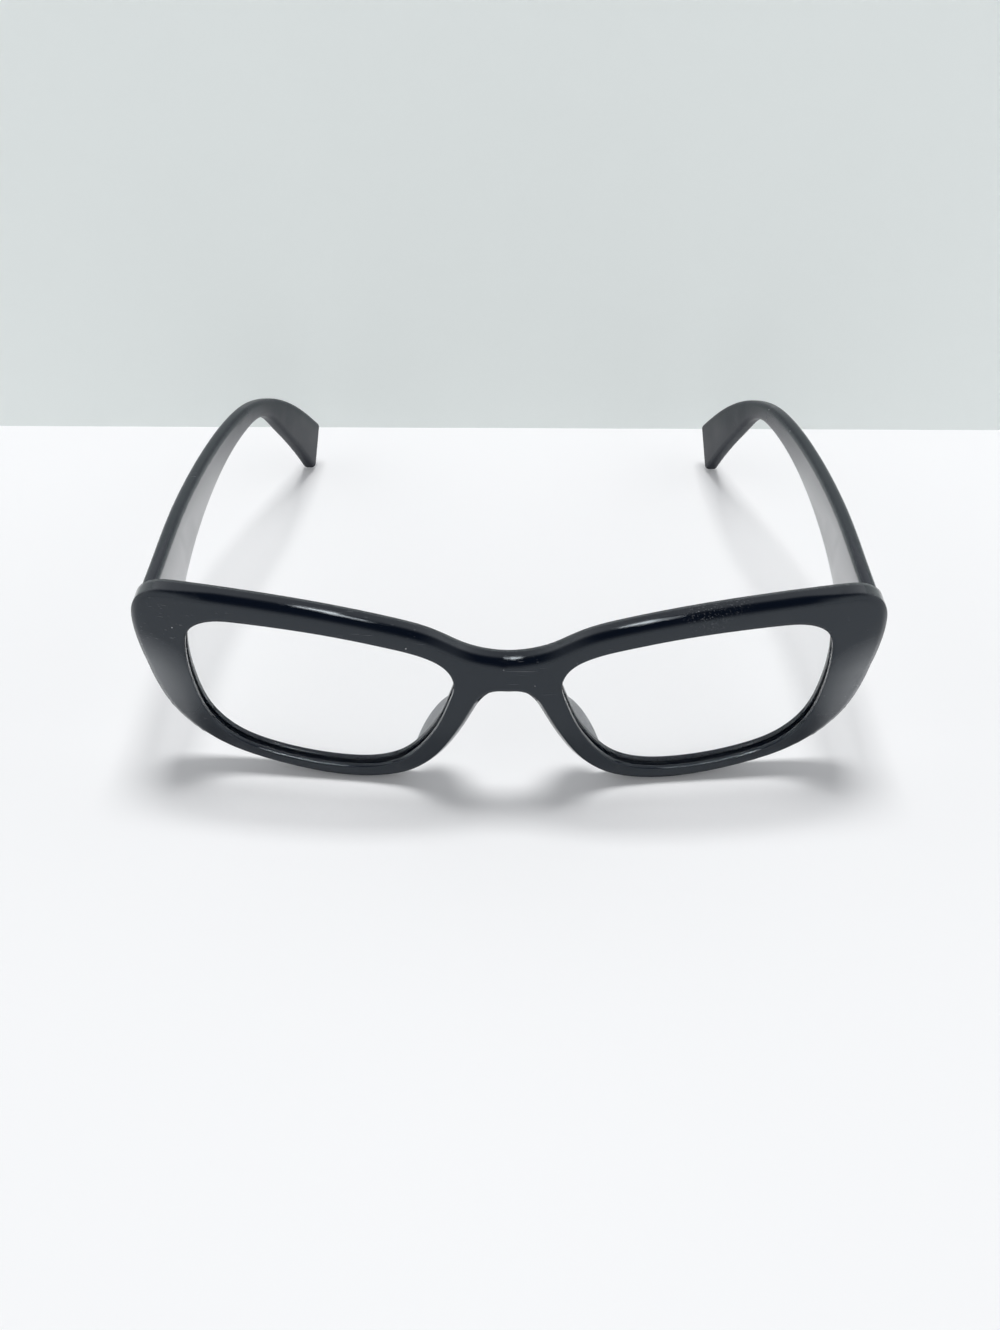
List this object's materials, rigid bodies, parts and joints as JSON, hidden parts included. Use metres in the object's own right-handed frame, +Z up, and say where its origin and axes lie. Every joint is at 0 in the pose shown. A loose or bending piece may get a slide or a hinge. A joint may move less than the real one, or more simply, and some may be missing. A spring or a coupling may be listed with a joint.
{
  "type": "eyeglasses",
  "caption": "Dark full-rim rectangular eyeglasses in thick plastic, standing open with the temples unfolded.",
  "frame": {"origin": "on the table, under the middle of the open glasses", "axes": "+X to the wearer's left, +Y from the front back along the temples, +Z up"},
  "size_m": [0.1386, 0.1396, 0.0403],
  "materials": {
    "frame_plastic": "gloss",
    "lens_clear": "clear",
    "hinge_metal": "satin",
    "screw_steel": "polished"
  },
  "bodies": {
    "front": {"front_frame": "frame_plastic", "lens_left": "lens_clear", "nose_pad_left": "frame_plastic", "hinge_front_leaf_left": "hinge_metal", "hinge_screw_left": "screw_steel", "hinge_front_rivet_upper_left": "hinge_metal", "hinge_front_rivet_lower_left": "hinge_metal", "lens_right": "lens_clear", "nose_pad_right": "frame_plastic", "hinge_front_leaf_right": "hinge_metal", "hinge_screw_right": "screw_steel", "hinge_front_rivet_upper_right": "hinge_metal", "hinge_front_rivet_lower_right": "hinge_metal"},
    "temple_left_arm": {"temple_left": "frame_plastic", "temple_core_wire_left": "hinge_metal", "hinge_temple_leaf_left": "hinge_metal", "hinge_temple_rivet_first_left": "hinge_metal", "hinge_temple_rivet_second_left": "hinge_metal"},
    "temple_right_arm": {"temple_right": "frame_plastic", "temple_core_wire_right": "hinge_metal", "hinge_temple_leaf_right": "hinge_metal", "hinge_temple_rivet_first_right": "hinge_metal", "hinge_temple_rivet_second_right": "hinge_metal"}
  },
  "joints": [
    {"name": "left_temple_fold", "type": "hinge", "parent": "front", "child": "temple_left_arm", "pos_m": [0.0635, -0.0565, 0.029], "axis": [0, 0, 1], "range_deg": [0, 84]},
    {"name": "right_temple_fold", "type": "hinge", "parent": "front", "child": "temple_right_arm", "pos_m": [-0.0635, -0.0565, 0.029], "axis": [0, 0, -1], "range_deg": [0, 77]}
  ]
}
